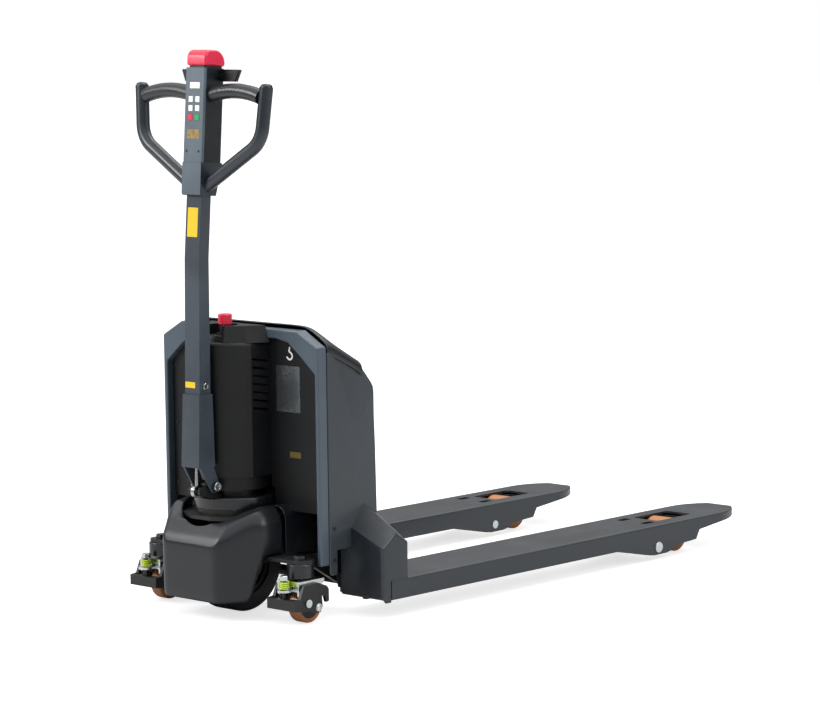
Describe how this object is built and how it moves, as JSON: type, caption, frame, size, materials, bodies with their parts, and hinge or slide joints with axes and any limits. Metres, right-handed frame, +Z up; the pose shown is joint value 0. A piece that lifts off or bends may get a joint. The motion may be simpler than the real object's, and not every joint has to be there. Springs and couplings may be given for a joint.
{
  "type": "electric pallet truck",
  "caption": "Walk-behind electric pallet truck: low lifting forks with rollers, a hooded drive unit on sprung casters and a tilting steering tiller with a loop handle.",
  "frame": {"origin": "on the floor, in the middle of the width and of the length of the lowered truck", "axes": "+Y from the operator towards the fork tips, +X to the operator's right, +Z up"},
  "size_m": [0.693, 1.56, 1.2448],
  "materials": {
    "frame_black": "satin black paint",
    "fork_charcoal": "semi-gloss charcoal powder coat",
    "cover_black": "fine-textured moulded plastic",
    "hood_grey": "satin graphite paint",
    "rim_grey": "satin grey paint",
    "zinc": "bright zinc plate",
    "steel": "machined steel",
    "polyurethane_amber": "translucent amber polyurethane",
    "polyurethane_black": "hard black polyurethane",
    "spring_green": "yellow-green paint",
    "red": "gloss red",
    "green": "gloss green",
    "white": "satin white",
    "fascia_grey": "satin blue-grey",
    "grip_black": "soft black"
  },
  "bodies": {
    "drive_base": {"base_frame": "frame_black", "drive_shroud": "cover_black", "slewing_ring": "steel", "lift_cylinder": "frame_black", "shroud_sides": "cover_black", "caster_housings": "frame_black"},
    "steering_head": {"turntable": "frame_black", "drive_motor": "frame_black", "gear_case": "frame_black", "wheel_yoke": "frame_black", "tiller_bracket": "frame_black"},
    "drive_wheel": {"drive_hub": "steel", "drive_tyre": "polyurethane_black"},
    "tiller": {"tiller_sleeve": "fork_charcoal", "tiller_tube": "fork_charcoal", "handle_frame": "fork_charcoal", "handle_grips": "grip_black", "handle_head": "cover_black", "handle_fascia": "fascia_grey"},
    "throttle": {"throttle_flaps": "cover_black"},
    "reverse_switch": {"reverse_button": "red"},
    "key_horn": {"key_horn": "white"},
    "key_slow": {"key_slow": "white"},
    "key_raise": {"key_raise": "white"},
    "key_lower": {"key_lower": "white"},
    "key_off": {"key_off": "red"},
    "key_on": {"key_on": "green"},
    "spring_cylinder": {"spring_cylinder": "frame_black"},
    "spring_rod": {"spring_rod": "steel"},
    "carriage": {"fork_left": "fork_charcoal", "fork_right": "fork_charcoal", "lever_bolts": "zinc", "fork_frame": "fork_charcoal", "lift_rod": "steel", "heel_covers": "hood_grey", "side_panels": "hood_grey", "front_rim": "rim_grey", "front_cover": "cover_black", "column_cover": "cover_black", "rear_cover": "hood_grey", "battery_pack": "cover_black", "power_unit": "frame_black", "estop_housing": "cover_black"},
    "battery_lid": {"battery_lid": "hood_grey"},
    "estop": {"estop_cap": "red"},
    "torsion_shaft": {"torsion_shaft": "steel"},
    "lever_left": {"load_lever_left": "frame_black"},
    "lever_right": {"load_lever_right": "frame_black"},
    "roller_left": {"load_roller_left": "polyurethane_amber"},
    "roller_right": {"load_roller_right": "polyurethane_amber"},
    "rod_left": {"push_rod_left": "frame_black"},
    "rod_right": {"push_rod_right": "frame_black"},
    "bracket_left": {"caster_bracket_left": "zinc"},
    "bracket_right": {"caster_bracket_right": "zinc"},
    "arm_left": {"caster_arm_left": "frame_black", "caster_spring_left": "spring_green"},
    "arm_right": {"caster_arm_right": "frame_black", "caster_spring_right": "spring_green"},
    "caster_left": {"caster_wheel_left": "polyurethane_amber"},
    "caster_right": {"caster_wheel_right": "polyurethane_amber"}
  },
  "joints": [
    {"name": "steer", "type": "hinge", "parent": "drive_base", "child": "steering_head", "pos_m": [0, -0.6335, 0.25], "axis": [0, 0, 1], "range_deg": [-75, 75]},
    {"name": "drive_spin", "type": "hinge", "parent": "steering_head", "child": "drive_wheel", "pos_m": [0, -0.6335, 0.105], "axis": [1, 0, 0], "continuous": true},
    {"name": "tilt", "type": "hinge", "parent": "steering_head", "child": "tiller", "pos_m": [0, -0.7225, 0.29], "axis": [1, 0, 0], "range_deg": [0, 75], "stiffness_Nm_per_rad": 40, "springref_deg": -11.46},
    {"name": "throttle", "type": "hinge", "parent": "tiller", "child": "throttle", "pos_m": [0, -0.68114, 1.18659], "axis": [1, 0, 0], "range_deg": [-20, 20], "stiffness_Nm_per_rad": 0.6},
    {"name": "reverse_push", "type": "slide", "parent": "tiller", "child": "reverse_switch", "axis": [0, -0.075, -0.9972], "range_m": [0, 0.004], "stiffness_N_per_m": 1500, "springref_m": -0.003},
    {"name": "horn_key", "type": "slide", "parent": "tiller", "child": "key_horn", "axis": [0, 0.9972, -0.075], "range_m": [0, 0.001], "stiffness_N_per_m": 800, "springref_m": -0.001},
    {"name": "slow_key", "type": "slide", "parent": "tiller", "child": "key_slow", "axis": [0, 0.9972, -0.075], "range_m": [0, 0.001], "stiffness_N_per_m": 800, "springref_m": -0.001},
    {"name": "raise_key", "type": "slide", "parent": "tiller", "child": "key_raise", "axis": [0, 0.9972, -0.075], "range_m": [0, 0.001], "stiffness_N_per_m": 800, "springref_m": -0.001},
    {"name": "lower_key", "type": "slide", "parent": "tiller", "child": "key_lower", "axis": [0, 0.9972, -0.075], "range_m": [0, 0.001], "stiffness_N_per_m": 800, "springref_m": -0.001},
    {"name": "off_key", "type": "slide", "parent": "tiller", "child": "key_off", "axis": [0, 0.9972, -0.075], "range_m": [0, 0.001], "stiffness_N_per_m": 800, "springref_m": -0.001},
    {"name": "on_key", "type": "slide", "parent": "tiller", "child": "key_on", "axis": [0, 0.9972, -0.075], "range_m": [0, 0.001], "stiffness_N_per_m": 800, "springref_m": -0.001},
    {"name": "spring_swing", "type": "hinge", "parent": "tiller", "child": "spring_cylinder", "pos_m": [0, -0.7425, 0.513], "axis": [1, 0, 0], "range_deg": [-1, 6]},
    {"name": "spring_slide", "type": "slide", "parent": "spring_cylinder", "child": "spring_rod", "axis": [0, 0.0386, 0.9993], "range_m": [0, 0.04]},
    {"name": "lift", "type": "slide", "parent": "drive_base", "child": "carriage", "axis": [0, 0, 1], "range_m": [0, 0.115]},
    {"name": "lid", "type": "hinge", "parent": "carriage", "child": "battery_lid", "pos_m": [0, -0.5855, 0.641], "axis": [1, 0, 0], "range_deg": [0, 70]},
    {"name": "estop_push", "type": "slide", "parent": "carriage", "child": "estop", "axis": [0, 0, -1], "range_m": [0, 0.005], "stiffness_N_per_m": 1200, "springref_m": -0.004},
    {"name": "shaft_turn", "type": "hinge", "parent": "carriage", "child": "torsion_shaft", "pos_m": [0, -0.4785, 0.066], "axis": [1, 0, 0], "range_deg": [0, 63]},
    {"name": "lever_turn_left", "type": "hinge", "parent": "carriage", "child": "lever_left", "pos_m": [-0.2625, 0.4355, 0.031], "axis": [1, 0, 0], "range_deg": [-63, 0]},
    {"name": "roller_spin_left", "type": "hinge", "parent": "lever_left", "child": "roller_left", "pos_m": [-0.2625, 0.55917, 0.04], "axis": [1, 0, 0], "continuous": true},
    {"name": "rod_turn_left", "type": "hinge", "parent": "lever_left", "child": "rod_left", "pos_m": [-0.2625, 0.42506, 0.04806], "axis": [1, 0, 0], "range_deg": [0, 63]},
    {"name": "swivel_left", "type": "hinge", "parent": "drive_base", "child": "bracket_left", "pos_m": [-0.222, -0.6555, 0.1], "axis": [0, 0, 1], "continuous": true},
    {"name": "rocker_left", "type": "hinge", "parent": "bracket_left", "child": "arm_left", "pos_m": [-0.222, -0.6775, 0.051], "axis": [1, 0, 0], "range_deg": [0, 6], "stiffness_Nm_per_rad": 100, "springref_deg": -2.86, "deforming": ["caster_spring_left"]},
    {"name": "caster_spin_left", "type": "hinge", "parent": "arm_left", "child": "caster_left", "pos_m": [-0.222, -0.6435, 0.0375], "axis": [1, 0, 0], "continuous": true},
    {"name": "lever_turn_right", "type": "hinge", "parent": "carriage", "child": "lever_right", "pos_m": [0.2625, 0.4355, 0.031], "axis": [1, 0, 0], "range_deg": [-63, 0]},
    {"name": "roller_spin_right", "type": "hinge", "parent": "lever_right", "child": "roller_right", "pos_m": [0.2625, 0.55917, 0.04], "axis": [1, 0, 0], "continuous": true},
    {"name": "rod_turn_right", "type": "hinge", "parent": "lever_right", "child": "rod_right", "pos_m": [0.2625, 0.42506, 0.04806], "axis": [1, 0, 0], "range_deg": [0, 63]},
    {"name": "swivel_right", "type": "hinge", "parent": "drive_base", "child": "bracket_right", "pos_m": [0.222, -0.6555, 0.1], "axis": [0, 0, 1], "continuous": true},
    {"name": "rocker_right", "type": "hinge", "parent": "bracket_right", "child": "arm_right", "pos_m": [0.222, -0.6775, 0.051], "axis": [1, 0, 0], "range_deg": [0, 6], "stiffness_Nm_per_rad": 100, "springref_deg": -2.86, "deforming": ["caster_spring_right"]},
    {"name": "caster_spin_right", "type": "hinge", "parent": "arm_right", "child": "caster_right", "pos_m": [0.222, -0.6435, 0.0375], "axis": [1, 0, 0], "continuous": true}
  ],
  "couplings": [
    {"joint": "spring_swing", "follows": "tilt", "ratio": 0.024},
    {"joint": "spring_slide", "follows": "tilt", "m_per_rad": 0.0284},
    {"joint": "shaft_turn", "follows": "lift", "rad_per_m": 9.5468},
    {"joint": "lever_turn_left", "follows": "lift", "rad_per_m": -9.5468},
    {"joint": "rod_turn_left", "follows": "lift", "rad_per_m": 9.5468},
    {"joint": "lever_turn_right", "follows": "lift", "rad_per_m": -9.5468},
    {"joint": "rod_turn_right", "follows": "lift", "rad_per_m": 9.5468}
  ]
}
